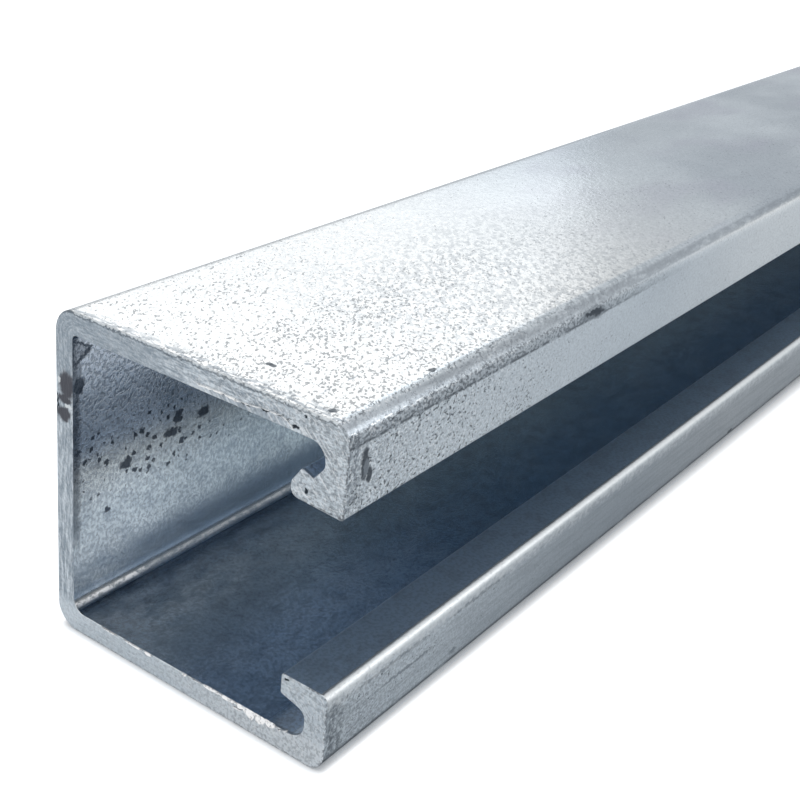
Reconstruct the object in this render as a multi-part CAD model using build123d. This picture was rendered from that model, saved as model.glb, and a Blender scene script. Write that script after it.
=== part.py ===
from build123d import *
import os

# Plain strut channel: one length of cold-rolled galvanised strip, folded to a square
# section with a slot along one side. The slot's two edges turn in as hooks that a
# channel nut grips.
#
# The channel lies on one side. +X runs along it, +Y points to the web, the slot opens
# to -Y and +Z is up. The origin is in the middle of the length and of the depth, on
# the face that the channel lies on. Sizes are in millimetres.

LENGTH = 1000.0  # one piece of stock, cut square at both ends
DEPTH = 41.3  # from the back of the web to the slotted face
WIDTH = 41.3  # across the two sides
WALL = 2.6  # the strip with its zinc: the web and the two sides

SLOT_WIDTH = 21.4  # clear gap between the two lips
LIP_WALL = 2.8  # a lip, upset a little thicker than the strip as it is folded
HOOK_DEPTH = 6.6  # from the slotted face to the tip of a hook
HOOK_TIP_THICKNESS = 2.4
HOOK_ROOT_THICKNESS = 2.8  # where the hook leaves its lip

WEB_BEND_OUTSIDE = 3.0  # radii of the bends between the web and the sides
WEB_BEND_INSIDE = 0.8
LIP_BEND_OUTSIDE = 2.4  # radius of the bend between a side and its lip
POCKET_ROUND = 2.0  # radius of both corners of the pocket behind a hook
SLOT_EDGE_ROUND = 0.9  # radius of the lip's edge along the slot
HOOK_TIP_ROUND = 0.7  # radius of both edges of a hook's tip

# A rounded corner takes up at most this share of a run that it shares with another.
SHARED_RUN = 0.48


def pocket_round(lip_height):
    """Radius of the pocket's corners, held to what the lip and the hook leave open."""
    pocket_height = lip_height - HOOK_ROOT_THICKNESS - WALL
    pocket_depth = HOOK_DEPTH - LIP_WALL - HOOK_TIP_ROUND
    return min(POCKET_ROUND, SHARED_RUN * pocket_height, pocket_depth)


def half_outline():
    """Outline of the lower half: outside, round the hook, and back along the inside."""
    web_back = DEPTH / 2
    slotted_face = -DEPTH / 2
    middle = WIDTH / 2
    lip_height = (WIDTH - SLOT_WIDTH) / 2
    hook_tip = slotted_face + HOOK_DEPTH
    lip_inside = slotted_face + LIP_WALL
    web_inside = web_back - WALL
    tip_round = min(HOOK_TIP_ROUND, SHARED_RUN * HOOK_TIP_THICKNESS)
    corners = [
        ((web_back, 0), WEB_BEND_OUTSIDE),
        ((slotted_face, 0), LIP_BEND_OUTSIDE),
        ((slotted_face, lip_height), SLOT_EDGE_ROUND),
        ((hook_tip, lip_height), tip_round),
        ((hook_tip, lip_height - HOOK_TIP_THICKNESS), tip_round),
        ((lip_inside, lip_height - HOOK_ROOT_THICKNESS), pocket_round(lip_height)),
        ((lip_inside, WALL), pocket_round(lip_height)),
        ((web_inside, WALL), WEB_BEND_INSIDE),
    ]
    start = (web_back, middle)
    end = (web_inside, middle)
    points = [start, *(point for point, radius in corners), end]
    return FilletPolyline(*points, radius=[radius for point, radius in corners])


def section():
    """The whole section, seen along the channel with the web at +Y."""
    with BuildSketch(Plane.YZ) as sketch:
        with BuildLine():
            outline = half_outline()
            Line(outline @ 1, outline @ 0)
        make_face()
        mirror(about=Plane.XZ.offset(-WIDTH / 2))
    return sketch.sketch


def strut_channel():
    """One length of the section, with its two ends cut square."""
    channel = extrude(section(), amount=LENGTH / 2, both=True)
    channel.label = "strut_channel"
    return channel


if __name__ == "__main__":
    os.makedirs("parts", exist_ok=True)
    export_step(strut_channel(), "parts/strut_channel.step")
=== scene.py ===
"""A length of galvanised strut channel, lying on one side on a pale studio floor.

The channel's section is drawn corner by corner, run out along its length and cut a
little out of square at the near end, where the cut has left burrs. Lengths are in
metres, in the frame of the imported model: +X runs along the channel, +Y points to its
web and +Z is up.
"""

from math import atan2, cos, pi, radians, sin, tan
from random import Random

import bmesh
import bpy
from bpy.props import FloatProperty, FloatVectorProperty, IntProperty, PointerProperty
from mathutils import Matrix, Vector


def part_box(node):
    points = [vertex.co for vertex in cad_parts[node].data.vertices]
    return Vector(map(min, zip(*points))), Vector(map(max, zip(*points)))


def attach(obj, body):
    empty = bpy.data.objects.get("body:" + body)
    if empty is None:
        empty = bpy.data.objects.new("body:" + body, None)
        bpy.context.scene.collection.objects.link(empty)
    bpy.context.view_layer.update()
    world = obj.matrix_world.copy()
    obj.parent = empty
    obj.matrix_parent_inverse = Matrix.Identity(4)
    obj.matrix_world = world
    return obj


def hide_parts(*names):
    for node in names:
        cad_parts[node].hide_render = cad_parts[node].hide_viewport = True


bl_info = {
    "name": "Strut channel",
    "version": (1, 0, 0),
    "blender": (4, 5, 0),
    "location": "3D View > Sidebar > Strut channel",
    "description": "Models a length of galvanised strut channel on a pale studio floor",
    "category": "Add Mesh",
}

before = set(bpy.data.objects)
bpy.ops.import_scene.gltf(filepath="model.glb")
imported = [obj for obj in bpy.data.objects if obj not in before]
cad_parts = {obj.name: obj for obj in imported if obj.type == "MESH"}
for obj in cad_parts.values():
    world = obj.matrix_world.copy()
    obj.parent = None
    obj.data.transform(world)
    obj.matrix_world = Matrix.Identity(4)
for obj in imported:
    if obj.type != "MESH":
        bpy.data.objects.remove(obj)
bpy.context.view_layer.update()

NODE = "strut_channel"
LOW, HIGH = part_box(NODE)

MM = 0.001
TOUCH = 0.01 * MM  # places closer than this are the same place


def linear(hex_colour):
    """Linear red, green, blue and alpha of an sRGB hex colour."""
    parts = [int(hex_colour[start:start + 2], 16) / 255 for start in (1, 3, 5)]
    return [p / 12.92 if p <= 0.04045 else ((p + 0.055) / 1.055) ** 2.4 for p in parts] + [1.0]


def length(name, description, default):
    """A length property in metres."""
    return FloatProperty(name=name, description=description, default=default, unit="LENGTH",
                         subtype="DISTANCE", precision=5)


def colour(name, description, default):
    """A colour property from an sRGB hex value."""
    return FloatVectorProperty(name=name, description=description, default=linear(default),
                               subtype="COLOR", size=4, min=0.0, max=1.0)


class ChannelSizes(bpy.types.PropertyGroup):
    """Sizes of the channel's section."""

    wall: length("Wall", "Thickness of the strip with its zinc", 2.6 * MM)
    slot_width: length("Slot width", "Clear gap between the two lips", 21.4 * MM)
    lip_wall: length("Lip wall", "Thickness of a lip", 2.8 * MM)
    hook_depth: length("Hook depth", "From the slotted face to a hook's tip", 6.6 * MM)
    hook_root: length("Hook root", "Thickness of a hook where it leaves its lip", 2.8 * MM)
    hook_tip: length("Hook tip", "Thickness of a hook at its tip", 2.4 * MM)
    web_bend: length("Web bend", "Outer radius of the bends beside the web", 3.0 * MM)
    web_bend_inside: length("Web bend inside", "Inner radius of the bends beside the web", 1.8 * MM)
    lip_bend: length("Lip bend", "Outer radius of the bends beside the lips", 2.1 * MM)
    pocket_round: length("Pocket round", "Radius of the corners behind a hook", 2.0 * MM)
    slot_edge: length("Slot edge", "Radius of the lower lip's edge along the slot", 0.95 * MM)
    hook_edge: length("Hook edge", "Radius of the lower hook's two edges", 0.35 * MM)
    curl: length("Curl", "How far the upper hook's tip curls up over its root", 0.45 * MM)


class CutSizes(bpy.types.PropertyGroup):
    """Sizes of the near end's cut."""

    fall_back: length("Fall back", "How far the web falls short of the lips at the cut", 1.1 * MM)
    rolled_edge: length("Rolled edge", "How far in the blade rolls the edges over", 0.2 * MM)
    burr: length("Burr", "How far the torn metal stands out of the cut", 0.14 * MM)
    seed: IntProperty(name="Seed", description="Seed of the burr's unevenness", default=7)


class ZincColours(bpy.types.PropertyGroup):
    """Colours of the bare zinc, the cut steel and the marks in them; some also paint light and shade."""

    # Pale also paints light: the outer faces paler near the cut.
    pale: colour("Pale zinc", "Lightest zinc on the outer faces", "#C8D0D6")
    blue: colour("Blue zinc", "Blue-grey zinc on the outer faces", "#A9B1B9")
    lilac: colour("Lilac zinc", "Lilac clouds on the outer faces", "#ABADBB")
    # Bead also paints light: highlights on the lower lip's slot edge and on the upper bend near the cut,
    # and the lips' reflection further along.
    bead: colour("Bead", "Thick bright zinc on the lips and the cut's rolled edge", "#DDE1E3")
    # Grain also paints the shadow on the web's side of the outer faces.
    grain: colour("Grain", "Dull zinc between the grains", "#757C83")
    # Bright is painted light: the top brighter near the cut.
    bright: colour("Bright zinc", "Neutral zinc on the top near the cut", "#D3D3D1")
    # Speck also paints shade: the dark line at the lower lip's foot and the shadow under the inner bead.
    speck: colour("Speck", "Dark specks and pits", "#31373E")
    # Inner speck also paints shade: the ragged edge along the cut on the web, the pockets at the cut and
    # the web low down further in.
    navy: colour("Inner speck", "Dark specks and stains inside the channel", "#1F2B39")
    inside_pale: colour("Pale inner zinc", "Zinc inside the channel near the cut", "#B2C6DC")
    inside_blue: colour("Blue inner zinc", "Duller zinc further in", "#AAC2D6")
    inside_light: colour("Light inner zinc", "Clean zinc on the floor of the channel", "#DAEAFB")
    hook: colour("Hook", "Scuffed zinc on top of the lower hook", "#93A9BF")
    web_pale: colour("Pale web", "Lightest zinc on the inside of the web", "#F4EDE2")
    web_dull: colour("Dull web", "Duller zinc on the inside of the web", "#E3DCD2")
    # Painted reflection: the web bluer high up.
    web_high_reflection: colour("High web", "Bluish zinc high up on the inside of the web", "#D2DAE4")
    # Also painted shade: the web low down and its lower corner; the scuffs inside are real.
    web_dark_and_shade: colour("Low web", "Dark zinc low down on the inside of the web", "#727C86")
    cut_pale: colour("Pale cut", "Bright lines on the sheared end", "#D8E0E6")
    cut_dark: colour("Dark cut", "Dull metal between the lines", "#98A3AD")
    bare: colour("Bare patch", "Dark bare steel on the web's end", "#5C5D63")
    # Burr also paints the highlight along the inner bead.
    burr: colour("Burr", "Torn metal and bright glints", "#F4F5F6")


class StudioSizes(bpy.types.PropertyGroup):
    """Camera and floor."""

    lens: FloatProperty(name="Lens", description="Focal length in millimetres", default=63.1)
    place: FloatVectorProperty(name="Camera place", description="Where the camera stands",
                               default=(-0.5974, -0.0878, 0.0999), subtype="TRANSLATION", unit="LENGTH")
    look: FloatVectorProperty(name="Camera direction", description="Which way the camera looks",
                              default=(0.7646, 0.4867, -0.4224), subtype="DIRECTION")
    up: FloatVectorProperty(name="Camera top", description="Which way the camera's top points",
                            default=(0.2994, 0.3121, 0.9016), subtype="DIRECTION")
    floor: length("Floor", "Side of the square floor", 16.0)


def pick(obj, kind, wanted):
    """Select the vertices, edges or faces that pass a test, and return how many did."""
    bpy.ops.mesh.select_mode(type=kind)
    bpy.ops.mesh.select_all(action="DESELECT")
    mesh = bmesh.from_edit_mesh(obj.data)
    items = {"VERT": mesh.verts, "EDGE": mesh.edges, "FACE": mesh.faces}[kind]
    chosen = [item for item in items if wanted(item)]
    for item in chosen:
        item.select_set(True)
    mesh.select_flush_mode()
    bmesh.update_edit_mesh(obj.data)
    return len(chosen)


def at(place, y, z):
    """True if a place is here in the section."""
    return abs(place.y - y) < TOUCH and abs(place.z - z) < TOUCH


def middle(item):
    """Middle of an edge or a face."""
    return sum((vertex.co for vertex in item.verts), Vector()) / len(item.verts)


def move(x=0.0, y=0.0, z=0.0):
    """Move what is selected."""
    bpy.ops.transform.translate(value=(x, y, z))


class Section:
    """Places in the section that its sizes give, in the lower half; upper() mirrors one."""

    def __init__(self, sizes):
        self.back = HIGH.y
        self.front = LOW.y
        self.width = HIGH.z
        self.lip = (self.width - sizes.slot_width) / 2
        self.tip = self.front + sizes.hook_depth
        self.lip_inside = self.front + sizes.lip_wall
        self.web_inside = self.back - sizes.wall
        self.root = self.lip - sizes.hook_root
        self.tip_inside = self.lip - sizes.hook_tip
        self.wall = sizes.wall
        self.slot_edge = sizes.slot_edge

    def upper(self, z):
        return self.width - z

    def is_inner(self, place):
        """True for a place inside the channel or along the slot's two edges."""
        beside_wall = self.wall - TOUCH < place.z < self.upper(self.wall) + TOUCH
        in_hollow = self.lip_inside - TOUCH < place.y < self.web_inside + TOUCH
        # The upper hook is curled up, so the slot reaches a little higher there.
        along_slot = self.lip - TOUCH < place.z < self.upper(self.lip) + 0.3 * MM
        behind_edge = self.front + self.slot_edge < place.y < self.web_inside + TOUCH
        return (beside_wall and in_hollow) or (along_slot and behind_edge)


def draw_section(obj, section, sizes):
    """Turn a square plate into the channel's section: one many-sided face."""
    bpy.ops.mesh.select_all(action="SELECT")
    bpy.ops.mesh.inset(thickness=sizes.wall)
    bpy.ops.mesh.delete(type="FACE")

    front_inside = section.front + sizes.wall
    pick(obj, "VERT", lambda v: abs(v.co.y - front_inside) < TOUCH)
    move(y=sizes.lip_wall - sizes.wall)
    for height in (section.root, section.lip, section.upper(section.lip), section.upper(section.root)):
        pick(obj, "FACE", lambda f: middle(f).y < section.lip_inside)
        bpy.ops.mesh.bisect(plane_co=(0, 0, height), plane_no=(0, 0, 1))

    half = section.width / 2
    slot = sizes.slot_width / 2
    pick(obj, "FACE", lambda f: middle(f).y < section.lip_inside and abs(middle(f).z - half) < slot)
    bpy.ops.mesh.delete(type="FACE")

    def under_a_hook(edge):
        place = middle(edge)
        from_middle = abs(place.z - half)
        in_hook = slot < from_middle < slot + sizes.hook_root
        return abs(place.y - section.lip_inside) < TOUCH and in_hook

    pick(obj, "EDGE", under_a_hook)
    hook_reach = section.tip - section.lip_inside
    bpy.ops.mesh.extrude_region_move(TRANSFORM_OT_translate={"value": (0, hook_reach, 0)})
    slant = sizes.hook_root - sizes.hook_tip
    pick(obj, "VERT", lambda v: at(v.co, section.tip, section.root))
    move(z=slant)
    pick(obj, "VERT", lambda v: at(v.co, section.tip, section.upper(section.root)))
    move(z=-slant)

    bpy.ops.mesh.select_all(action="SELECT")
    bpy.ops.mesh.dissolve_limited(angle_limit=radians(1))


def split_upper_hook(obj, section):
    """Add a corner to the upper hook's tip and to its pocket side; return their places."""
    nose = (section.tip, section.upper((section.lip + section.tip_inside) / 2))
    notch = ((section.lip_inside + section.tip) / 2, section.upper((section.root + section.tip_inside) / 2))
    for place in (nose, notch):
        pick(obj, "EDGE", lambda e: at(middle(e), *place))
        bpy.ops.mesh.subdivide(number_cuts=1)
    return nose, notch


def round_corners(obj, section, sizes):
    """Shift each corner of the section to where this piece has it, and round it."""
    nose, notch = split_upper_hook(obj, section)
    lip_top, tip_top, root_top = (section.upper(z) for z in (section.lip, section.tip_inside, section.root))
    corners = [
        # across, up, shift across and up in millimetres, radius
        (section.tip, section.lip, -0.25, 0.0, sizes.hook_edge),
        (section.tip, section.tip_inside, -0.25, -0.12, sizes.hook_edge),
        (section.lip_inside, section.root, 0.1, -0.65, 1.2 * MM),
        (section.tip, lip_top, 0.2, 0.0, 1.0 * MM),
        (*nose, 0.3, 0.4, 0.8 * MM),
        (section.tip, tip_top, -1.0, sizes.curl / MM + 0.65, 0.35 * MM),
        (*notch, -0.55, 0.3, 0.3 * MM),
        (section.lip_inside, root_top, 0.0, 1.7, 0.9 * MM),
        (section.lip_inside, sizes.wall, 0.1, 0.15, sizes.pocket_round),
        (section.lip_inside, section.upper(sizes.wall), 0.0, -0.3, sizes.pocket_round),
        (section.front, section.lip, 0.0, 0.0, sizes.slot_edge),
        (section.front, lip_top, 0.0, -0.38, 0.45 * MM),
    ]
    for turn in (lambda z: z, section.upper):
        corners += [
            (section.back, turn(0), 0.0, 0.0, sizes.web_bend),
            (section.front, turn(0), 0.0, 0.0, sizes.lip_bend),
        ]
    corners += [
        (section.web_inside, sizes.wall, 0.0, 0.0, sizes.web_bend_inside),
        (section.web_inside, section.upper(sizes.wall), 0.0, -0.3, 0.7 * MM),
    ]
    for y, z, across, up, _ in corners:
        if pick(obj, "VERT", lambda v: at(v.co, y, z)) != 1:
            raise RuntimeError(f"the section has no corner at {y:.5f}, {z:.5f}")
        move(y=across * MM, z=up * MM)
    for y, z, across, up, radius in corners:
        pick(obj, "VERT", lambda v: at(v.co, y + across * MM, z + up * MM))
        mesh = bmesh.from_edit_mesh(obj.data)
        corner = next(v for v in mesh.verts if v.select)
        first, second = (edge.other_vert(corner).co - corner.co for edge in corner.link_edges)
        start = radius / tan(first.angle(second) / 2)
        bpy.ops.mesh.bevel(offset=start, segments=8, profile=0.5, affect="VERTICES",
                           clamp_overlap=False)


def divide_flats(obj, pitch):
    """Put vertices along the straight runs of the section."""
    bpy.ops.mesh.select_all(action="SELECT")
    bpy.ops.mesh.delete(type="ONLY_FACE")
    mesh = bmesh.from_edit_mesh(obj.data)
    cuts = sorted({int(edge.calc_length() / pitch) for edge in mesh.edges}, reverse=True)
    for number in cuts:
        if number < 1:
            continue
        pick(obj, "EDGE", lambda e: int(e.calc_length() / pitch) == number)
        bpy.ops.mesh.subdivide(number_cuts=number)
    bpy.ops.mesh.select_all(action="SELECT")
    bpy.ops.mesh.edge_face_add()


def steps_to_the_cut(total):
    """Steps along the channel from the far end, finer towards the near end."""
    near = [0.5 * MM] * 12 + [1.0 * MM] * 14 + [2.5 * MM] * 12 + [5.0 * MM] * 20
    rest = total - sum(near)
    coarse = 25 * MM
    count = round(rest / coarse)
    return [rest / count] * count + near[::-1]


TILTED_STEPS = 30  # steps nearest to the cut, whose rings lie parallel to it


def cut_tilt(cut):
    """Angle of the cut, out of square."""
    return atan2(cut.fall_back, HIGH.y - LOW.y)


def cut_x(cut, y):
    """Where the cut stands along the channel, at this place across it."""
    return LOW.x + cut.burr + (y - LOW.y) * tan(cut_tilt(cut))


def run_out(section, cut):
    """Extrude the section towards -X, and tilt it to the line of the cut on the way."""
    bpy.ops.mesh.select_all(action="SELECT")
    steps = steps_to_the_cut(HIGH.x - LOW.x - cut.burr)
    tilt_at = len(steps) - TILTED_STEPS
    for number, step in enumerate(steps):
        bpy.ops.mesh.extrude_region_move(TRANSFORM_OT_translate={"value": (-step, 0, 0)})
        if number == tilt_at:
            here = HIGH.x - sum(steps[:number + 1])
            bpy.ops.transform.rotate(value=cut_tilt(cut), orient_axis="Z",
                                     center_override=(here, section.front, 0))
    bpy.ops.mesh.select_all(action="SELECT")
    bpy.ops.mesh.normals_make_consistent(inside=False)


def roll_cut_edges(obj, cut):
    """Roll the near cut's edges over a little, in two narrow rings."""
    pick(obj, "FACE", lambda f: f.normal.x < -0.9 and len(f.verts) > 4)
    roll = cut.rolled_edge  # the face goes in by 0.55 of it, and its rings come out again
    move(x=0.55 * roll)
    bpy.ops.mesh.inset(thickness=0.3 * roll, depth=0.4 * roll)
    bpy.ops.mesh.inset(thickness=0.5 * roll, depth=0.15 * roll)


def give_finishes(obj, section, finishes):
    """Give each face the finish of its place: outer zinc, inner zinc or cut steel."""
    for finish in finishes:
        obj.data.materials.append(finish)
    places = (lambda f: section.is_inner(middle(f)), lambda f: abs(f.normal.x) > 0.4)
    for number, place in enumerate(places, start=1):
        pick(obj, "FACE", place)
        obj.active_material_index = number
        bpy.ops.object.material_slot_assign()


def new_object(name):
    """Name the object that has just been added and put its place in its mesh."""
    obj = bpy.context.object
    obj.name = name
    obj.data.name = name
    bpy.ops.object.transform_apply(location=True, rotation=True, scale=True)
    return obj


class STRUT_OT_channel(bpy.types.Operator):
    """Model the channel, from its section to its cut"""

    bl_idname = "strut.channel"
    bl_label = "Channel"

    def execute(self, context):
        sizes = context.scene.strut_sizes
        cut = context.scene.strut_cut
        colours = context.scene.strut_colours
        section = Section(sizes)
        bpy.ops.object.select_all(action="DESELECT")
        bpy.ops.mesh.primitive_plane_add(size=HIGH.z - LOW.z, rotation=(0, pi / 2, 0),
                                         location=(HIGH.x, 0, HIGH.z / 2))
        obj = new_object("channel")
        bpy.ops.object.mode_set(mode="EDIT")
        draw_section(obj, section, sizes)
        round_corners(obj, section, sizes)
        divide_flats(obj, 1.0 * MM)
        run_out(section, cut)
        roll_cut_edges(obj, cut)
        give_finishes(obj, section, (outer_zinc(colours), inner_zinc(colours), cut_steel(colours)))
        bpy.ops.object.mode_set(mode="OBJECT")
        bpy.ops.object.shade_smooth_by_angle(angle=radians(35))
        flats = obj.modifiers.new("flat_faces", "WEIGHTED_NORMAL")
        flats.keep_sharp = True
        flats.weight = 100
        bpy.ops.object.modifier_apply(modifier=flats.name)
        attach(obj, "root")
        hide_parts(NODE)
        return {"FINISHED"}


# Where the cut tore the metal: from and to across the channel, height of its upper
# edge at each end, and how tall it is, all in millimetres.
TEARS = (
    (-13.8, -12.9, 38.8, 39.45, 0.16), (-13.1, -12.1, 39.4, 39.72, 0.18), (-12.3, -9.6, 39.74, 39.6, 0.2),
    (-9.8, -6.9, 39.6, 39.3, 0.2), (-7.0, -4.4, 39.3, 39.4, 0.3), (-4.6, -3.0, 39.42, 39.35, 0.34),
    (-3.2, -0.8, 39.34, 39.28, 0.3),
    (-15.9, -15.2, 3.35, 2.95, 0.3), (-15.0, -14.4, 2.9, 2.7, 0.28), (-14.1, -12.5, 3.02, 3.08, 0.75),
    (-12.7, -11.0, 3.08, 3.06, 1.3), (-11.2, -9.3, 3.08, 3.06, 1.15), (-9.5, -8.3, 3.06, 3.02, 0.6),
    (-9.2, -7.9, 2.45, 2.35, 0.32), (-8.5, -5.9, 3.02, 3.02, 0.46), (-6.0, -3.4, 3.02, 2.96, 0.42),
    (-3.0, -1.6, 2.9, 2.86, 0.16), (-0.9, -0.1, 2.92, 2.88, 0.36), (4.7, 5.9, 2.82, 2.84, 0.4),
    (6.2, 9.2, 2.76, 2.8, 0.26), (10.4, 13.0, 2.76, 2.78, 0.18),
)
STANDS_OUT = (1.5, 1.35, 0.9, 0.35)  # from a tear's lower edge to its upper one, in burrs
TEAR_PITCH = 0.2  # width of a column of a tear, in millimetres
RUNG = 0.4 * MM  # height between the rows of a tear's grid, before they are moved
ASIDE = 1.0  # how far along X a tear's grid is added, clear of everything else


def tear(obj, cut, row, dice):
    """Add one strip of torn metal along the cut: its upper edge is even and its lower one ragged."""
    start, end, high_start, high_end, tall = row
    columns = max(3, round(abs(end - start) / TEAR_PITCH))
    bpy.ops.mesh.primitive_grid_add(x_subdivisions=3, y_subdivisions=columns, size=3 * RUNG,
                                    rotation=(0, pi / 2, 0), location=(ASIDE, 0, 0))
    mesh = bmesh.from_edit_mesh(obj.data)
    added = [v for v in mesh.verts if v.co.x > ASIDE / 2]
    across = sorted({round(v.co.y / MM, 4) for v in added})
    edge = 0.0
    for number, place in enumerate(across):
        share = number / (len(across) - 1)
        y = start + (end - start) * share
        high = high_start + (high_end - high_start) * share - 0.1 * dice.random() * tall
        edge = 0.5 * edge + dice.uniform(-0.35, 0.35)
        taper = min(1.0, 4 * share + 0.25, 4 * (1 - share) + 0.25)
        low = high - tall * taper * (0.85 + 0.5 * edge)
        for level, stand in enumerate(STANDS_OUT):
            z = (level - 1.5) * RUNG
            pick(obj, "VERT", lambda v: v.co.x > ASIDE / 2 and at(v.co, place * MM, z))
            stand *= cut.burr * (0.8 + 0.3 * dice.random())
            height = low + (high - low) * level / 3
            move(x=cut_x(cut, y * MM) - stand - ASIDE, y=(y - place) * MM, z=height * MM - z)


class STRUT_OT_tears(bpy.types.Operator):
    """Model the torn metal that the blade left on the cut"""

    bl_idname = "strut.tears"
    bl_label = "Torn metal"

    def execute(self, context):
        cut = context.scene.strut_cut
        dice = Random(cut.seed)
        bpy.ops.object.select_all(action="DESELECT")
        bpy.ops.mesh.primitive_plane_add(size=1.0 * MM, location=(-2 * ASIDE, 0, 0))
        obj = new_object("tears")
        bpy.ops.object.mode_set(mode="EDIT")
        for row in TEARS:
            tear(obj, cut, row, dice)
        pick(obj, "VERT", lambda v: v.co.x < -ASIDE)
        bpy.ops.mesh.delete(type="VERT")
        bpy.ops.mesh.select_all(action="SELECT")
        bpy.ops.mesh.extrude_region_move(TRANSFORM_OT_translate={"value": (0.45 * cut.burr, 0, 0)})
        bpy.ops.mesh.select_all(action="SELECT")
        bpy.ops.mesh.normals_make_consistent(inside=False)
        bpy.ops.object.mode_set(mode="OBJECT")
        rounded = obj.modifiers.new("rounded", "SUBSURF")
        rounded.levels = rounded.render_levels = 1
        bpy.ops.object.modifier_apply(modifier=rounded.name)
        bpy.ops.object.shade_smooth_by_angle(angle=radians(60))
        obj.data.materials.append(torn_metal(context.scene.strut_colours))
        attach(obj, "root")
        return {"FINISHED"}


MATH = "ShaderNodeMath"
RANGE = "ShaderNodeMapRange"
VECTOR = "ShaderNodeVectorMath"
SOFT = {"interpolation_type": "SMOOTHSTEP"}


def add(tree, kind, inputs=None, **settings):
    """Add a node; an input is given a value, or a node or socket that it is linked to."""
    made = tree.nodes.new(kind)
    for name, value in settings.items():
        setattr(made, name, value)
    for name, value in (inputs or {}).items():
        if isinstance(value, bpy.types.Node):
            value = next(socket for socket in value.outputs if socket.enabled)
        if isinstance(value, bpy.types.NodeSocket):
            tree.links.new(value, made.inputs[name])
        else:
            made.inputs[name].default_value = value
    return made


def blank_material(name):
    """A new material with no nodes in it, and its tree."""
    material = bpy.data.materials.new(name)
    material.use_nodes = True
    material.node_tree.nodes.clear()
    return material, material.node_tree


def in_millimetres(tree):
    """The place on the object in millimetres, whole and split in three."""
    place = add(tree, "ShaderNodeTexCoord").outputs["Object"]
    place = add(tree, VECTOR, {0: place, "Scale": 1 / MM}, operation="SCALE")
    split = add(tree, "ShaderNodeSeparateXYZ", {0: place})
    return place, split.outputs["X"], split.outputs["Y"], split.outputs["Z"]


def where(tree, most, *ramps):
    """A mask that is most where every value is past its ramp: rows of value, start and end."""
    for value, start, end in ramps:
        most = add(tree, RANGE, {0: value, 1: start, 2: end, 4: most}, **SOFT)
    return most


def layered(tree, tint, layers):
    """A tint with other colours laid over it in turn, each as far as its mask says."""
    for mask, paint in layers:
        tint = add(tree, "ShaderNodeMix", {0: mask, 6: tint, 7: paint}, data_type="RGBA")
    return tint


def patches(tree, place, size, low, high, most=1.0, squeeze=(1, 1, 1), detail=2.0):
    """Soft patches of this size in millimetres: from 0 to most, between two levels of a noise."""
    place = add(tree, VECTOR, {0: place, 1: [s / size for s in squeeze]}, operation="MULTIPLY")
    noise = add(tree, "ShaderNodeTexNoise",
                {"Vector": place, "Scale": 1.0, "Detail": detail, "Roughness": 0.6})
    return add(tree, RANGE, {0: noise, 1: low, 2: high, 4: most}, **SOFT)


def specks(tree, place, size, level, most=1.0, squeeze=(1, 1, 1), soft=0.06):
    """Specks of this size in millimetres, where a noise passes a level; fewer as it rises."""
    full = add(tree, MATH, {0: level, 1: soft}, operation="ADD")
    return patches(tree, place, size, level, full, most, squeeze)


def dots(tree, across, up, size, reach):
    """Round dots of unlike sizes, one in a cell of this size in millimetres; reach is in cells."""
    place = add(tree, "ShaderNodeCombineXYZ", {0: across, 1: up})
    cell = add(tree, "ShaderNodeTexVoronoi", {"Vector": place, "Scale": 1 / size}, voronoi_dimensions="2D")
    chance = add(tree, "ShaderNodeSeparateXYZ", {0: cell.outputs["Color"]}).outputs["X"]
    reach = add(tree, RANGE, {0: chance, 1: 0.35, 2: 1.0, 4: reach})
    inside = add(tree, MATH, {0: reach, 1: cell.outputs["Distance"]}, operation="SUBTRACT")
    return add(tree, RANGE, {0: inside, 1: -0.03, 2: 0.1}, **SOFT)


def jostled(tree, place, reach=0.9, scale=1.6):
    """The place, pushed about by a noise, which makes the edges of what is drawn on it ragged."""
    noise = add(tree, "ShaderNodeTexNoise", {"Vector": place, "Scale": scale, "Detail": 2.0})
    place = add(tree, VECTOR, {0: noise.outputs["Color"], 1: (reach, reach, reach), 2: place},
                operation="MULTIPLY_ADD")
    return add(tree, VECTOR, {0: place, 1: (reach / 2, reach / 2, reach / 2)}, operation="SUBTRACT")


def marks(tree, place, rows):
    """Single marks: each row is a mark's middle and its reach each way, in millimetres."""
    total = 0.0
    for centre, reach in rows:
        off = add(tree, VECTOR, {0: place, 1: centre}, operation="SUBTRACT")
        off = add(tree, VECTOR, {0: off, 1: reach}, operation="DIVIDE")
        far = add(tree, VECTOR, {0: off}, operation="LENGTH")
        mark = add(tree, RANGE, {0: far.outputs["Value"], 1: 1.0, 2: 0.6}, **SOFT)
        total = add(tree, MATH, {0: mark, 1: total}, operation="MAXIMUM")
    return total


def from_line(tree, value, line):
    """How far a value is from a line, either way."""
    off = add(tree, MATH, {0: value, 1: line}, operation="SUBTRACT")
    return add(tree, MATH, {0: off}, operation="ABSOLUTE")


def from_seam(tree, place, y, z):
    """How far a place is from a line that runs along the channel, here in its section."""
    off = add(tree, VECTOR, {0: place, 1: (0, 1, 1), 2: (0, -y, -z)}, operation="MULTIPLY_ADD")
    return add(tree, VECTOR, {0: off}, operation="LENGTH").outputs["Value"]


def metal(tree, tint, rough, heights):
    """Finish a bare metal: its colour, roughness, and bumps as (height, depth in millimetres).

    The film of grey oxide keeps it from turning into a mirror at a glancing angle, which
    is what the specular tint does.
    """
    normal = {}
    for height, depth in heights:
        bump = add(tree, "ShaderNodeBump",
                   {"Strength": 1.0, "Distance": depth * MM, "Height": height, **normal})
        normal = {"Normal": bump}
    shader = add(tree, "ShaderNodeBsdfPrincipled", {
        "Metallic": 1.0, "Specular Tint": linear("#D8DCE0"), "Base Color": tint,
        "Roughness": rough, **normal})
    add(tree, "ShaderNodeOutputMaterial", {"Surface": shader})


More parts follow.
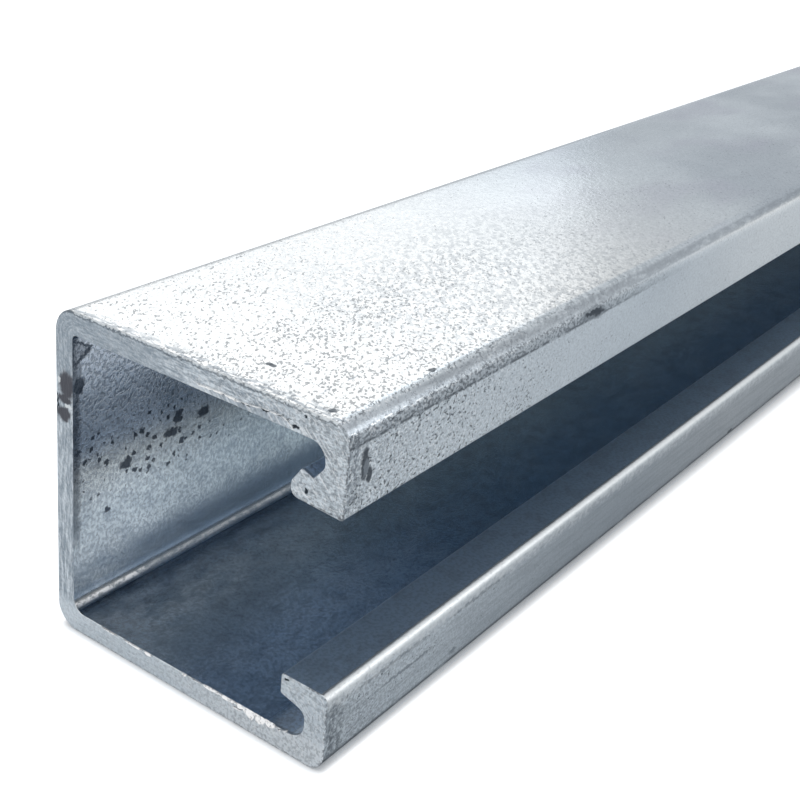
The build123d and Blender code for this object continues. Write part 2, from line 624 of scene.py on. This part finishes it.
def outer_zinc(colours):
    """Hot-dip galvanised zinc on the outer faces.

    The bath leaves it bare and softly mirror-like, clouded from blue-grey to pale, with a
    mottled grain and ragged dark pits that are thickest near the cut. Near the cut the faces
    are painted paler and the top a brighter neutral: painted light. A painted shadow lies on
    the web's side some 50 to 170 mm from the cut, and the lips are painted lighter further
    along: a painted reflection of a brighter floor. The bend over the upper lip is smooth,
    with a painted highlight along it near the cut and a worn and speckled band below it. The
    lower lip is streaked and has a bright bead of thicker zinc, with a painted highlight
    along the slot's edge, and a painted dark line at its foot: the floor's shadow seen in
    its bend. The real grain is too fine to show, so it is drawn 0.3 to 0.7 mm wide, aslant
    to the channel, as the zinc drained.
    """
    material, tree = blank_material("hot_dip_zinc")
    place, x, y, z = in_millimetres(tree)
    on_lip = add(tree, RANGE, {0: y, 1: -20.0, 2: -20.35}, **SOFT)
    low_lip = where(tree, 1.0, (z, 12, 11), (y, -17, -18.5))
    from_cut = add(tree, RANGE, {0: x, 1: -490, 2: -440}, **SOFT)
    aslant = add(tree, "ShaderNodeVectorRotate", {"Vector": place, "Angle": radians(-32)},
                 rotation_type="Z_AXIS")

    clouds = patches(tree, place, 26, 0.35, 0.65, 1.0, (0.55, 1, 1), 3.0)
    lilac = patches(tree, place, 17, 0.48, 0.7, 0.6, (0.6, 1.3, 1))
    # Painted light: the outer faces paler near the cut, and the top a brighter neutral there.
    by_the_cut = where(tree, 0.85, (x, -380, -460), (y, 20.5, 19.5))
    lit_top = add(tree, RANGE, {0: y, 1: -18.9, 2: -18.2, 4: by_the_cut}, **SOFT)
    # Painted shadow on the web's side of the outer faces, some 50 to 170 mm from the cut.
    web_side_shadow = where(tree, 0.3, (y, 0, 17), (from_line(tree, x, -390), 60, 10))
    # Painted reflection: the lips lighter further from the cut, where they mirror a brighter floor.
    lip_reflection = add(tree, RANGE, {0: x, 1: -440, 2: -385, 4: on_lip}, **SOFT)
    drained = add(tree, RANGE, {0: from_cut, 4: 0.5})
    drained = add(tree, MATH, {0: drained, 1: low_lip}, operation="MULTIPLY")

    most = add(tree, RANGE, {0: x, 1: -494, 2: -484, 3: 0.6, 4: 0.38}, **SOFT)
    most = add(tree, RANGE, {0: on_lip, 3: 0.22, 4: most})
    most = add(tree, RANGE, {0: from_cut, 3: most, 4: 0.18})
    mottle = patches(tree, aslant, 0.3, 0.4, 0.62, most, (0.65, 1, 1))
    most = add(tree, RANGE, {0: x, 1: -490, 2: -468, 3: 0.05, 4: 0.27}, **SOFT)
    most = add(tree, RANGE, {0: x, 1: -450, 2: -415, 3: most, 4: 0.05}, **SOFT)
    cobbled = add(tree, RANGE, {0: y, 1: 14, 2: -2, 3: 0.5, 4: 1.6}, **SOFT)
    cobbled = add(tree, MATH, {0: most, 1: cobbled}, operation="MULTIPLY")
    cobbled = add(tree, RANGE, {0: on_lip, 3: cobbled, 4: 0.0})
    cobbles = patches(tree, aslant, 0.68, 0.45, 0.6, cobbled, (0.6, 1, 1))
    most = add(tree, RANGE, {0: low_lip, 3: 0.5, 4: 0.15})
    most = add(tree, RANGE, {0: from_cut, 3: most, 4: 0.06})
    glints = specks(tree, place, 0.3, 0.56, most)

    level = add(tree, RANGE, {0: x, 1: -480, 2: -440, 3: 0.575, 4: 0.65})
    fewer = add(tree, RANGE, {0: y, 1: -2, 2: 5, 4: 0.05}, **SOFT)
    fewer = add(tree, RANGE, {0: on_lip, 3: fewer, 4: 0.04})
    fewer = add(tree, RANGE, {0: low_lip, 3: fewer, 4: 0.09})
    level = add(tree, MATH, {0: level, 1: fewer}, operation="ADD")
    thick = patches(tree, place, 7, 0.4, 0.65, 0.04)
    level = add(tree, MATH, {0: level, 1: thick}, operation="SUBTRACT")
    most = add(tree, RANGE, {0: on_lip, 3: 0.6, 4: 0.85})
    most = add(tree, RANGE, {0: from_cut, 3: most, 4: 0.4})
    pits = specks(tree, aslant, 0.36, level, most, (0.6, 1, 1), soft=0.05)

    strokes = add(tree, RANGE, {0: x, 1: -496.6, 2: -499.0, 4: 0.8}, **SOFT)
    strokes = patches(tree, place, 0.8, 0.42, 0.6, strokes, (1.6, 0.5, 1))
    streaks = add(tree, RANGE, {0: low_lip, 4: 0.22})
    streaks = patches(tree, place, 1.0, 0.46, 0.64, streaks, (0.12, 1, 2.2))
    worn = add(tree, MATH, {0: strokes, 1: streaks}, operation="MAXIMUM")

    band = where(tree, on_lip, (z, 40.5, 40.2), (z, 38.6, 38.9), (x, -418, -455))
    dimmed = add(tree, RANGE, {0: band, 4: 0.4})
    scuffs = patches(tree, place, 0.36, 0.48, 0.58, band, (0.8, 1, 1.1))
    line = add(tree, RANGE, {0: from_line(tree, z, 38.85), 1: 0.45, 2: 0.1, 4: band}, **SOFT)
    line = specks(tree, place, 0.6, 0.47, line, (0.6, 1, 1.4))
    scuffs = add(tree, RANGE, {0: scuffs, 4: 0.75})
    scuffs = add(tree, MATH, {0: scuffs, 1: line}, operation="MAXIMUM")
    scuffs = add(tree, RANGE, {0: scuffs, 4: 0.74})
    on_bend = where(tree, 1.0, (y, -19.2, -19.7), (z, 40.1, 40.4))
    smooth = add(tree, RANGE, {0: x, 1: -466, 2: -490, 3: 0.3, 4: 0.68}, **SOFT)
    smooth = add(tree, MATH, {0: smooth, 1: on_bend}, operation="MULTIPLY")
    bend = add(tree, RANGE, {0: x, 1: -495, 2: -484, 4: 0.5}, **SOFT)
    bend = add(tree, MATH, {0: bend, 1: on_bend}, operation="MULTIPLY")
    bend = patches(tree, place, 0.7, 0.2, 0.6, bend, (0.3, 1, 1))
    # Painted highlight: a ragged bright line along the upper bend near the cut.
    bend_highlight = where(tree, on_lip, (from_line(tree, z, 40.25), 0.11, 0.04), (x, -480, -494))
    bend_highlight = specks(tree, place, 0.5, 0.52, bend_highlight, (0.7, 1, 1.2))

    near_by = jostled(tree, place)
    smudges = marks(tree, near_by, (
        ((-450.6, -20.6, 39.6), (3.6, 1, 1.0)), ((-448.8, -20.6, 39.2), (2.4, 1, 0.9)),
        ((-488.0, -20.65, 8.0), (9, 1, 0.3)), ((-485.0, -20.65, 5.7), (7, 1, 0.25)),
        ((-470.0, -20.65, 8.1), (8, 1, 0.3)), ((-491.2, -8.5, 41.3), (0.4, 0.4, 1)),
        ((-495.0, -13.9, 41.3), (1.6, 0.1, 1)), ((-490.5, -13.9, 41.3), (1.3, 0.12, 1)),
        ((-483.0, -13.7, 41.3), (2.6, 0.12, 1)), ((-498.6, -20.65, 38.2), (0.2, 1, 2.0)),
        ((-474.7, -20.65, 2.7), (0.9, 1, 0.45)),
    ))
    smudges = add(tree, RANGE, {0: smudges, 4: 0.7})
    stains = marks(tree, near_by, (
        ((-494.1, -6.0, 41.3), (0.5, 0.9, 1)), ((-482.8, -18.4, 41.3), (0.7, 0.5, 1)),
        ((-498.1, -17.0, 41.3), (0.55, 0.7, 1)), ((-497.0, -20.65, 36.5), (0.8, 1, 2.3)),
        ((-496.1, -20.65, 35.0), (0.6, 1, 1.2)), ((-450.2, -20.65, 39.6), (2.8, 1, 0.4)),
        ((-448.6, -20.65, 39.2), (1.8, 1, 0.35)), ((-389.4, -20.65, 1.8), (1.2, 1, 0.5)),
    ))
    most = add(tree, RANGE, {0: low_lip, 4: 0.5})
    blotches = add(tree, RANGE, {0: from_line(tree, x, -497.9), 1: 1.7, 2: 0.7, 4: most}, **SOFT)
    blotches = patches(tree, place, 0.9, 0.42, 0.6, blotches)
    # Painted shade: a dark line along the lower lip's foot, the floor's shadow seen in its bend.
    foot = add(tree, RANGE, {0: low_lip, 4: 0.85})
    foot = add(tree, RANGE, {0: from_line(tree, z, 1.35), 1: 0.7, 2: 0.15, 4: foot}, **SOFT)
    foot = patches(tree, place, 1.5, 0.25, 0.45, foot, (0.3, 1, 1))
    blotches = add(tree, MATH, {0: blotches, 1: foot}, operation="MAXIMUM")
    # Real blotches and stains, and the painted shade along the foot.
    dark = add(tree, MATH, {0: blotches, 1: stains}, operation="MAXIMUM")
    dark = add(tree, RANGE, {0: dark, 4: 0.9})
    stain_middle = marks(tree, near_by, (((-496.8, -20.65, 36.0), (0.48, 1, 1.3)),))

    # The lower lip's bead of thicker zinc, with a painted highlight along the slot's edge.
    bead_low = patches(tree, place, 0.6, 0.35, 0.65, 1.0, (0.8, 1, 1), 3.0)
    above = add(tree, MATH, {0: z, 1: bead_low}, operation="SUBTRACT")
    bead = add(tree, RANGE, {0: from_cut, 3: 0.85, 4: 0.75})
    bead = add(tree, MATH, {0: bead, 1: low_lip}, operation="MULTIPLY")
    bead = add(tree, RANGE, {0: above, 1: 6.8, 2: 9.2, 4: bead}, **SOFT)
    tint = layered(tree, colours.blue, (
        (clouds, colours.pale), (lilac, colours.lilac), (by_the_cut, colours.pale),
        (lit_top, colours.bright), (web_side_shadow, colours.grain), (lip_reflection, colours.bead),
        (drained, colours.grain), (mottle, colours.grain), (cobbles, colours.grain),
        (glints, colours.burr), (pits, colours.speck), (worn, colours.grain),
        (dimmed, colours.grain), (scuffs, colours.speck), (smooth, colours.blue),
        (bend, colours.grain), (bend_highlight, colours.bead), (smudges, colours.grain),
        (dark, colours.speck), (stain_middle, colours.grain), (bead, colours.bead),
    ))

    grain = patches(tree, place, 1.1, 0.2, 0.8)
    rough = add(tree, RANGE, {0: clouds, 3: 0.26, 4: 0.18})
    rough = add(tree, RANGE, {0: low_lip, 3: rough, 4: 0.36})
    metal(tree, tint, rough, ((grain, 0.014), (mottle, -0.016), (pits, -0.03)))
    return material


def inner_zinc(colours):
    """Hot-dip galvanised zinc inside the channel.

    It drained slower there and lost its shine: bluer further in, paler by the slot and the
    cut, and warm grey on the web, where it has a mottle, dark spots and a dark triangle.
    Painted reflection and shade make the web bluer high up and dark low down, darker still
    low down further in. A painted shadow lies as a ragged dark edge at the cut, with
    painted shade in the hooks' pockets there. A bright bead lies where it gathered in the
    lower corner, its brightness a painted highlight, with painted shade in the corner and a
    painted shadow under it.
    """
    material, tree = blank_material("dull_inner_zinc")
    place, x, y, z = in_millimetres(tree)
    on_web = add(tree, RANGE, {0: y, 1: 16.9, 2: 17.8}, **SOFT)
    clouds = patches(tree, place, 7, 0.3, 0.7, 1.0, (0.7, 1, 1))
    further_in = add(tree, RANGE, {0: x, 1: -492, 2: -425}, **SOFT)
    by_the_slot = where(tree, 1.0, (y, 5, -6), (x, -440, -480))
    drifts = where(tree, 1.0, (y, 3, 13), (x, -450, -490))
    drifts = patches(tree, place, 2.6, 0.36, 0.58, drifts, (0.7, 1, 1), 4.0)
    unseen = where(tree, 1.0, (x, -408, -420), (z, 30.0, 36.0))
    on_hook = where(tree, 0.85, (y, -13.5, -13.9), (from_line(tree, z, 9.95), 0.5, 0.3))
    by_the_cut = add(tree, RANGE, {0: y, 1: -13.9, 2: -13.5, 4: 0.4})
    by_the_cut = add(tree, RANGE, {0: x, 1: -496.0, 2: -498.4, 4: by_the_cut}, **SOFT)
    floor_tint = layered(tree, colours.inside_pale, (
        (further_in, colours.inside_blue), (by_the_slot, colours.inside_light),
        (drifts, colours.inside_light), (unseen, colours.inside_light), (on_hook, colours.hook),
        (by_the_cut, colours.inside_light),
    ))
    # Painted reflection and shade on the web: bluer high up, dark low down, and darker still low down
    # further in.
    high = add(tree, RANGE, {0: z, 1: 20, 2: 25}, **SOFT)
    dim = where(tree, 0.26, (from_line(tree, x, -453), 3, 12), (x, -492, -470))
    low = add(tree, RANGE, {0: x, 1: -496, 2: -486, 3: 0.5, 4: 0.85}, **SOFT)
    low = add(tree, RANGE, {0: z, 1: 10.8, 2: 6.6, 4: low}, **SOFT)
    lowest_shade = add(tree, RANGE, {0: z, 1: 9.0, 2: 5.0, 4: dim}, **SOFT)
    web_tint = layered(tree, colours.web_dull, (
        (clouds, colours.web_pale), (high, colours.web_high_reflection), (dim, colours.grain),
        (low, colours.web_dark_and_shade), (lowest_shade, colours.navy),
    ))

    most = add(tree, RANGE, {0: high, 3: 0.4, 4: 0.56})
    most = add(tree, RANGE, {0: on_web, 3: 0.28, 4: most})
    mottle = patches(tree, place, 0.5, 0.44, 0.6, most, (1.1, 1, 0.9), 3.0)
    scuffs = patches(tree, place, 2.2, 0.48, 0.62, 0.2, (0.8, 1, 1), 3.0)

    spotted = where(tree, on_web, (z, 13.0, 18.5), (z, 27.0, 23.5), (x, -460, -484))
    near_by = jostled(tree, place, 1.0, 2.2)
    chain = marks(tree, near_by, (((-493.6, 18.05, 14.3), (2.9, 2, 0.5)),))
    spotted = add(tree, MATH, {0: spotted, 1: chain}, operation="MAXIMUM")
    spotted = add(tree, RANGE, {0: spotted, 4: 0.44})
    ragged = add(tree, "ShaderNodeSeparateXYZ", {0: near_by})
    spots = dots(tree, ragged.outputs["X"], ragged.outputs["Z"], 1.15, spotted)
    stains = marks(tree, near_by, (
        ((-497.8, 18.05, 31.9), (1.1, 2, 1.5)), ((-481.5, 18.05, 22.5), (0.9, 2, 1.2)),
        ((-482.6, 18.05, 20.7), (1.6, 2, 0.8)), ((-476.7, 18.05, 21.6), (1.4, 2, 0.9)),
        ((-490.3, 18.05, 19.3), (1.3, 2, 0.9)),
    ))
    dark = add(tree, MATH, {0: spots, 1: stains}, operation="MAXIMUM")
    # Painted shadow: a ragged dark edge along the cut on the web, the burr's shadow.
    edge = add(tree, RANGE, {0: on_web, 4: 0.75})
    edge = where(tree, edge, (ragged.outputs["X"], -497.2, -498.2), (z, 9, 14))
    # Painted shade inside the hooks' pockets right at the cut, over a bright ring.
    pocket_shade = where(tree, 0.5, (y, -13.5, -14.0), (x, -499.1, -499.4),
                      (from_line(tree, z, 10.0), 0.3, 0.9))
    edge = add(tree, MATH, {0: edge, 1: pocket_shade}, operation="MAXIMUM")
    # The dark triangle in the web's upper corner, by its three sides: which way each
    # faces, across and up, and how far out it lies.
    inside = -100.0
    for across, up, reach in ((0.474, 0.88, -203.25), (0.555, -0.832, -305.4), (-1.0, 0.0, 498.6)):
        side = add(tree, VECTOR, {0: near_by, 1: (across, 0, up)}, operation="DOT_PRODUCT").outputs["Value"]
        side = add(tree, MATH, {0: side, 1: reach}, operation="SUBTRACT")
        inside = add(tree, MATH, {0: inside, 1: side}, operation="MAXIMUM")
    outlined = add(tree, RANGE, {0: from_line(tree, inside, 0.0), 1: 0.4, 2: 0.1, 4: on_web}, **SOFT)
    filled = add(tree, RANGE, {0: inside, 1: 0.2, 2: -0.2, 4: 0.55}, **SOFT)
    triangle = add(tree, MATH, {0: outlined, 1: filled}, operation="MAXIMUM")
    edge = add(tree, MATH, {0: edge, 1: triangle}, operation="MAXIMUM")
    # Dark spots and stains, and the painted shadow and shade along the cut.
    dark = add(tree, MATH, {0: dark, 1: edge}, operation="MAXIMUM")
    dark = add(tree, RANGE, {0: dark, 4: 0.86})

    # Painted shade in the lower inside corner, and a painted shadow under the bead.
    corner_shade = add(tree, RANGE, {0: from_seam(tree, place, 18.05, 3.7), 1: 1.6, 2: 1.1, 4: 0.45}, **SOFT)
    shadow_under_bead = where(tree, 0.35, (x, -484, -492), (from_seam(tree, place, 17.15, 2.85), 0.42, 0.2))
    corner = from_seam(tree, place, 17.7, 3.3)
    # The bead of zinc gathered in the corner, with a painted highlight along it.
    bead = add(tree, RANGE, {0: x, 1: -486, 2: -489, 3: 0.15, 4: 0.62}, **SOFT)
    bead = add(tree, RANGE, {0: corner, 1: 0.4, 2: 0.2, 4: bead}, **SOFT)
    bead = patches(tree, place, 0.6, 0.4, 0.58, bead, (0.8, 1, 1))
    tint = layered(tree, floor_tint, (
        (on_web, web_tint), (mottle, colours.grain), (scuffs, colours.web_dark_and_shade),
        (dark, colours.navy), (corner_shade, colours.web_dark_and_shade), (shadow_under_bead, colours.speck),
        (bead, colours.burr),
    ))

    grain = patches(tree, place, 0.9, 0.25, 0.75)
    rough = add(tree, RANGE, {0: clouds, 3: 0.2, 4: 0.27})
    rough = add(tree, RANGE, {0: corner, 1: 0.4, 2: 0.8, 3: 0.42, 4: rough})
    rough = add(tree, RANGE, {0: y, 1: -12.5, 2: -14.2, 3: rough, 4: 0.5}, **SOFT)
    metal(tree, tint, rough, ((grain, 0.006), (mottle, -0.018)))
    return material


def cut_steel(colours):
    """Sheared steel at the channel's ends.

    The blade dragged the metal along the strip, which leaves bright lines that turn with
    the section, a crumbly grain that is finer towards the web, a dark rim with a bright
    rolled edge on top, a few chips and, on the web, dark bare patches.
    """
    material, tree = blank_material("sheared_steel")
    place, x, y, z = in_millimetres(tree)
    # How deep a place lies under the section's outline, a square whose corners have a
    # radius of 2.1 mm at the lips and 3 mm at the web, or under the slot's two edges.
    half = HIGH.z / 2 / MM
    core = add(tree, RANGE, {0: y, 1: -1, 2: 1, 3: half - 2.1, 4: half - 3.0})
    core_corner = add(tree, "ShaderNodeCombineXYZ", {1: core, 2: core})
    off = add(tree, VECTOR, {0: place, 1: (0, 1, 1), 2: (0, 0, -half)}, operation="MULTIPLY_ADD")
    off = add(tree, VECTOR, {0: off}, operation="ABSOLUTE")
    off = add(tree, VECTOR, {0: off, 1: core_corner}, operation="SUBTRACT")
    off = add(tree, VECTOR, {0: off}, operation="MAXIMUM")
    off = add(tree, VECTOR, {0: off}, operation="LENGTH").outputs["Value"]
    depth = add(tree, MATH, {0: half, 1: core}, operation="SUBTRACT")
    depth = add(tree, MATH, {0: depth, 1: off}, operation="SUBTRACT")
    off_hook = add(tree, RANGE, {0: y, 1: -12.5, 2: -11.5, 4: 30.0}, **SOFT)
    for slot_edge in (9.95, 31.3):
        from_edge = add(tree, MATH, {0: from_line(tree, z, slot_edge), 1: off_hook}, operation="ADD")
        depth = add(tree, MATH, {0: depth, 1: from_edge, 2: 1.2}, operation="SMOOTH_MIN")

    along = add(tree, MATH, {0: y, 1: z}, operation="SUBTRACT")
    drag = add(tree, "ShaderNodeCombineXYZ", {0: depth, 1: along, 2: x})
    lines = patches(tree, drag, 0.7, 0.36, 0.66, 1.0, (2.6, 0.4, 1), 5.0)
    towards_slot = add(tree, RANGE, {0: y, 1: -7, 2: -16, 4: 0.7}, **SOFT)
    at_the_foot = add(tree, RANGE, {0: z, 1: 5, 2: 2.5}, **SOFT)
    paler = add(tree, MATH, {0: towards_slot, 1: at_the_foot}, operation="MAXIMUM")
    towards_web = where(tree, 0.6, (z, 30, 38), (y, -2, 10))
    foot = add(tree, RANGE, {0: y, 1: 4, 2: -8, 4: 0.35})
    foot = add(tree, RANGE, {0: at_the_foot, 4: foot})

    upper = add(tree, RANGE, {0: z, 1: 20, 2: 28, 3: 0.4, 4: 0.5}, **SOFT)
    crumbly = add(tree, RANGE, {0: y, 1: 8, 2: -14, 3: 0.22, 4: upper}, **SOFT)
    crumbs = patches(tree, place, 0.4, 0.44, 0.62, crumbly)
    scored = where(tree, 0.32, (y, -13, -16), (z, 26, 30))
    scored = patches(tree, place, 0.34, 0.44, 0.6, scored, (1, 0.35, 1.2))
    glints = specks(tree, drag, 0.34, 0.54, crumbly)
    rim_width = add(tree, RANGE, {0: y, 1: 14, 2: 18, 3: 0.26, 4: 0.45}, **SOFT)
    rim_width = add(tree, RANGE, {0: z, 1: 34, 2: 38, 3: 0.26, 4: rim_width}, **SOFT)
    uneven = patches(tree, place, 0.5, 0.35, 0.65, 0.25)
    ragged = add(tree, MATH, {0: depth, 1: uneven}, operation="ADD")
    rim = add(tree, RANGE, {0: ragged, 1: rim_width, 2: 0.05, 4: 0.65}, **SOFT)
    ragged = add(tree, MATH, {0: z, 1: uneven}, operation="ADD")
    jags = add(tree, RANGE, {0: from_line(tree, ragged, 41.1), 1: 0.14, 2: 0.04, 4: 0.5}, **SOFT)
    rim = add(tree, MATH, {0: rim, 1: jags}, operation="MAXIMUM")
    rolled = add(tree, RANGE, {0: ragged, 1: 41.2, 2: 41.3, 4: 0.7}, **SOFT)

    near_by = jostled(tree, place)
    bare = marks(tree, near_by, (
        ((-498.9, 18.9, 32.0), (3, 1.5, 2.1)), ((-498.9, 19.2, 30.2), (3, 1.3, 0.7)),
        ((-498.9, 19.4, 28.4), (3, 1.3, 1.2)),
    ))
    chips = marks(tree, near_by, (
        ((-499.9, -15.9, 32.6), (3, 0.26, 0.42)), ((-499.9, -15.1, 40.5), (3, 0.2, 0.22)),
        ((-499.9, -15.1, 9.5), (3, 0.3, 0.18)), ((-498.9, 20.38, 29.5), (3, 0.13, 2.0)),
        ((-499.9, -13.95, 38.95), (3, 0.5, 0.3)), ((-499.7, -12.2, 39.5), (3, 1.5, 0.1)),
        ((-499.6, -9.6, 39.35), (3, 1.6, 0.1)), ((-499.5, -7.2, 39.1), (3, 0.9, 0.16)),
        ((-499.4, -4.8, 39.05), (3, 1.4, 0.1)),
    ))
    flecks = marks(tree, near_by, (
        ((-498.9, 20.05, 32.4), (3, 0.4, 0.45)), ((-498.9, 18.6, 29.4), (3, 0.7, 0.3)),
    ))
    tint = layered(tree, colours.cut_dark, (
        (lines, colours.cut_pale), (paler, colours.cut_pale), (towards_web, colours.cut_dark),
        (foot, colours.burr), (crumbs, colours.grain), (scored, colours.speck),
        (glints, colours.burr), (rim, colours.speck), (rolled, colours.bead), (bare, colours.bare),
        (chips, colours.speck), (flecks, colours.bead),
    ))
    rough = add(tree, RANGE, {0: lines, 3: 0.5, 4: 0.36})
    metal(tree, tint, rough, ((lines, 0.03), (crumbs, -0.04)))
    return material


def torn_metal(colours):
    """Metal torn by the blade: bright and rough, for it has no zinc and broke instead of being cut.

    It leans back and catches the sky, which is what the second of its bumps gives.
    """
    material, tree = blank_material("torn_steel")
    place, _, _, z = in_millimetres(tree)
    crumbs = patches(tree, place, 0.3, 0.54, 0.64, 0.5)
    tint = layered(tree, colours.burr, ((crumbs, colours.grain),))
    rough = add(tree, RANGE, {0: crumbs, 3: 0.3, 4: 0.5})
    metal(tree, tint, rough, ((crumbs, 0.05), (z, -0.6)))
    return material


class STRUT_OT_stage(bpy.types.Operator):
    """Set out the floor, the sky, the lamps and the camera"""

    bl_idname = "strut.stage"
    bl_label = "Stage"

    def execute(self, context):
        studio = context.scene.strut_studio
        make_floor(studio)
        make_sky(context.scene)
        make_lamps()
        make_camera(context.scene, studio)
        context.scene.view_settings.view_transform = "Standard"
        return {"FINISHED"}


def make_floor(studio):
    """A pale floor that shows white to the camera and keeps the channel's shadow."""
    bpy.ops.object.select_all(action="DESELECT")
    bpy.ops.mesh.primitive_plane_add(size=studio.floor, location=(0, 0, LOW.z - 0.05 * MM))
    floor = new_object("floor")
    material, tree = blank_material("white_paper")
    paper = add(tree, "ShaderNodeBsdfDiffuse", {"Color": linear("#E2E6EA")})
    place = add(tree, "ShaderNodeTexCoord").outputs["Object"]
    along = add(tree, "ShaderNodeSeparateXYZ", {0: place}).outputs["X"]
    path = add(tree, "ShaderNodeLightPath")
    seen = add(tree, MATH, {0: path.outputs["Is Glossy Ray"], 1: path.outputs["Is Transmission Ray"]},
               operation="MAXIMUM")
    reach = add(tree, RANGE, {0: along, 1: -0.5, 2: -0.2, 3: 1.0 * MM, 4: 3.4 * MM})
    reach = add(tree, RANGE, {0: path.outputs["Is Camera Ray"], 3: 10 * MM, 4: reach})
    open_sky = add(tree, "ShaderNodeAmbientOcclusion", {"Distance": reach}, samples=2).outputs["AO"]
    contact = add(tree, RANGE, {0: open_sky, 1: 0.45, 2: 0.95, 3: 0.05, 4: 0.7}, **SOFT)
    mirrored = add(tree, RANGE, {0: open_sky, 1: 0.4, 3: 0.1, 4: 0.3}, **SOFT)
    shown = add(tree, RANGE, {0: seen, 4: mirrored})
    shown = add(tree, RANGE, {0: path.outputs["Is Camera Ray"], 3: shown, 4: contact})
    glow = add(tree, "ShaderNodeEmission", {"Color": (1, 1, 1, 1), "Strength": shown})
    both = add(tree, "ShaderNodeAddShader", {0: paper, 1: glow})
    add(tree, "ShaderNodeOutputMaterial", {"Surface": both})
    floor.data.materials.append(material)


def make_sky(scene):
    """White all round, and a softer light on what isn't glossy."""
    world = bpy.data.worlds.new("studio")
    world.use_nodes = True
    tree = world.node_tree
    tree.nodes.clear()
    path = add(tree, "ShaderNodeLightPath")
    seen = add(tree, MATH, {0: path.outputs["Is Camera Ray"], 1: path.outputs["Is Glossy Ray"]},
               operation="MAXIMUM")
    seen = add(tree, MATH, {0: seen, 1: path.outputs["Is Transmission Ray"]}, operation="MAXIMUM")
    strength = add(tree, RANGE, {0: seen, 3: 0.7, 4: 1.0})
    sky = add(tree, "ShaderNodeBackground", {"Color": (1, 1, 1, 1), "Strength": strength})
    add(tree, "ShaderNodeOutputWorld", {"Surface": sky})
    scene.world = world


# The soft boxes as the near end sees them: degrees round from +X, degrees up, width and
# height in metres, light that a white mirror would send back, and distance in metres.
LAMPS = (
    ("back_softbox", 45.3, 30, 1.05, 0.92, 1.05, 1.5),
    ("side_softbox", -47, 21, 0.42, 0.6, 1.3, 1.2),
)


def make_lamps():
    """Two soft boxes that face the near end."""
    aim = Vector((LOW.x + 60 * MM, 0, HIGH.z))
    for name, around, above, width, height, strength, distance in LAMPS:
        around, above = radians(around), radians(above)
        towards = Vector((cos(around) * cos(above), sin(around) * cos(above), sin(above)))
        bpy.ops.object.light_add(type="AREA", location=aim + towards * distance)
        lamp = bpy.context.object
        lamp.name = name
        lamp.rotation_euler = towards.to_track_quat("Z", "Y").to_euler()
        lamp.data.shape = "RECTANGLE"
        lamp.data.size = width
        lamp.data.size_y = height
        lamp.data.energy = strength * pi * width * height


def make_camera(scene, studio):
    """The camera, at the place and angle that the photo was taken from."""
    bpy.ops.object.camera_add(location=studio.place)
    camera = bpy.context.object
    camera.name = "camera"
    back = -Vector(studio.look).normalized()
    right = Vector(studio.up).cross(back).normalized()
    camera.rotation_euler = Matrix((right, back.cross(right), back)).transposed().to_euler()
    camera.data.lens = studio.lens
    camera.data.sensor_width = 36
    camera.data.clip_start = 0.005
    camera.data.clip_end = 50
    scene.camera = camera


class STRUT_PT_panel(bpy.types.Panel):
    """The channel's sizes and colours, and the operators that use them"""

    bl_label = "Strut channel"
    bl_idname = "STRUT_PT_panel"
    bl_space_type = "VIEW_3D"
    bl_region_type = "UI"
    bl_category = "Strut channel"

    def draw(self, context):
        for name in GROUPS:
            group = getattr(context.scene, name)
            for field in group.__annotations__:
                self.layout.prop(group, field)
        for operator in OPERATORS:
            self.layout.operator(operator.bl_idname)


GROUPS = {
    "strut_sizes": ChannelSizes,
    "strut_cut": CutSizes,
    "strut_colours": ZincColours,
    "strut_studio": StudioSizes,
}
OPERATORS = (STRUT_OT_channel, STRUT_OT_tears, STRUT_OT_stage)


def register():
    """Register the classes and put the property groups on the scene."""
    for group in GROUPS.values():
        bpy.utils.register_class(group)
    for cls in (*OPERATORS, STRUT_PT_panel):
        bpy.utils.register_class(cls)
    for name, group in GROUPS.items():
        setattr(bpy.types.Scene, name, PointerProperty(type=group))


def unregister():
    """Undo register."""
    for name in GROUPS:
        delattr(bpy.types.Scene, name)
    for cls in (STRUT_PT_panel, *reversed(OPERATORS), *reversed(GROUPS.values())):
        bpy.utils.unregister_class(cls)


def main():
    """Build the channel and its stage."""
    register()
    bpy.ops.strut.channel()
    bpy.ops.strut.tears()
    bpy.ops.strut.stage()


if __name__ == "__main__":
    main()
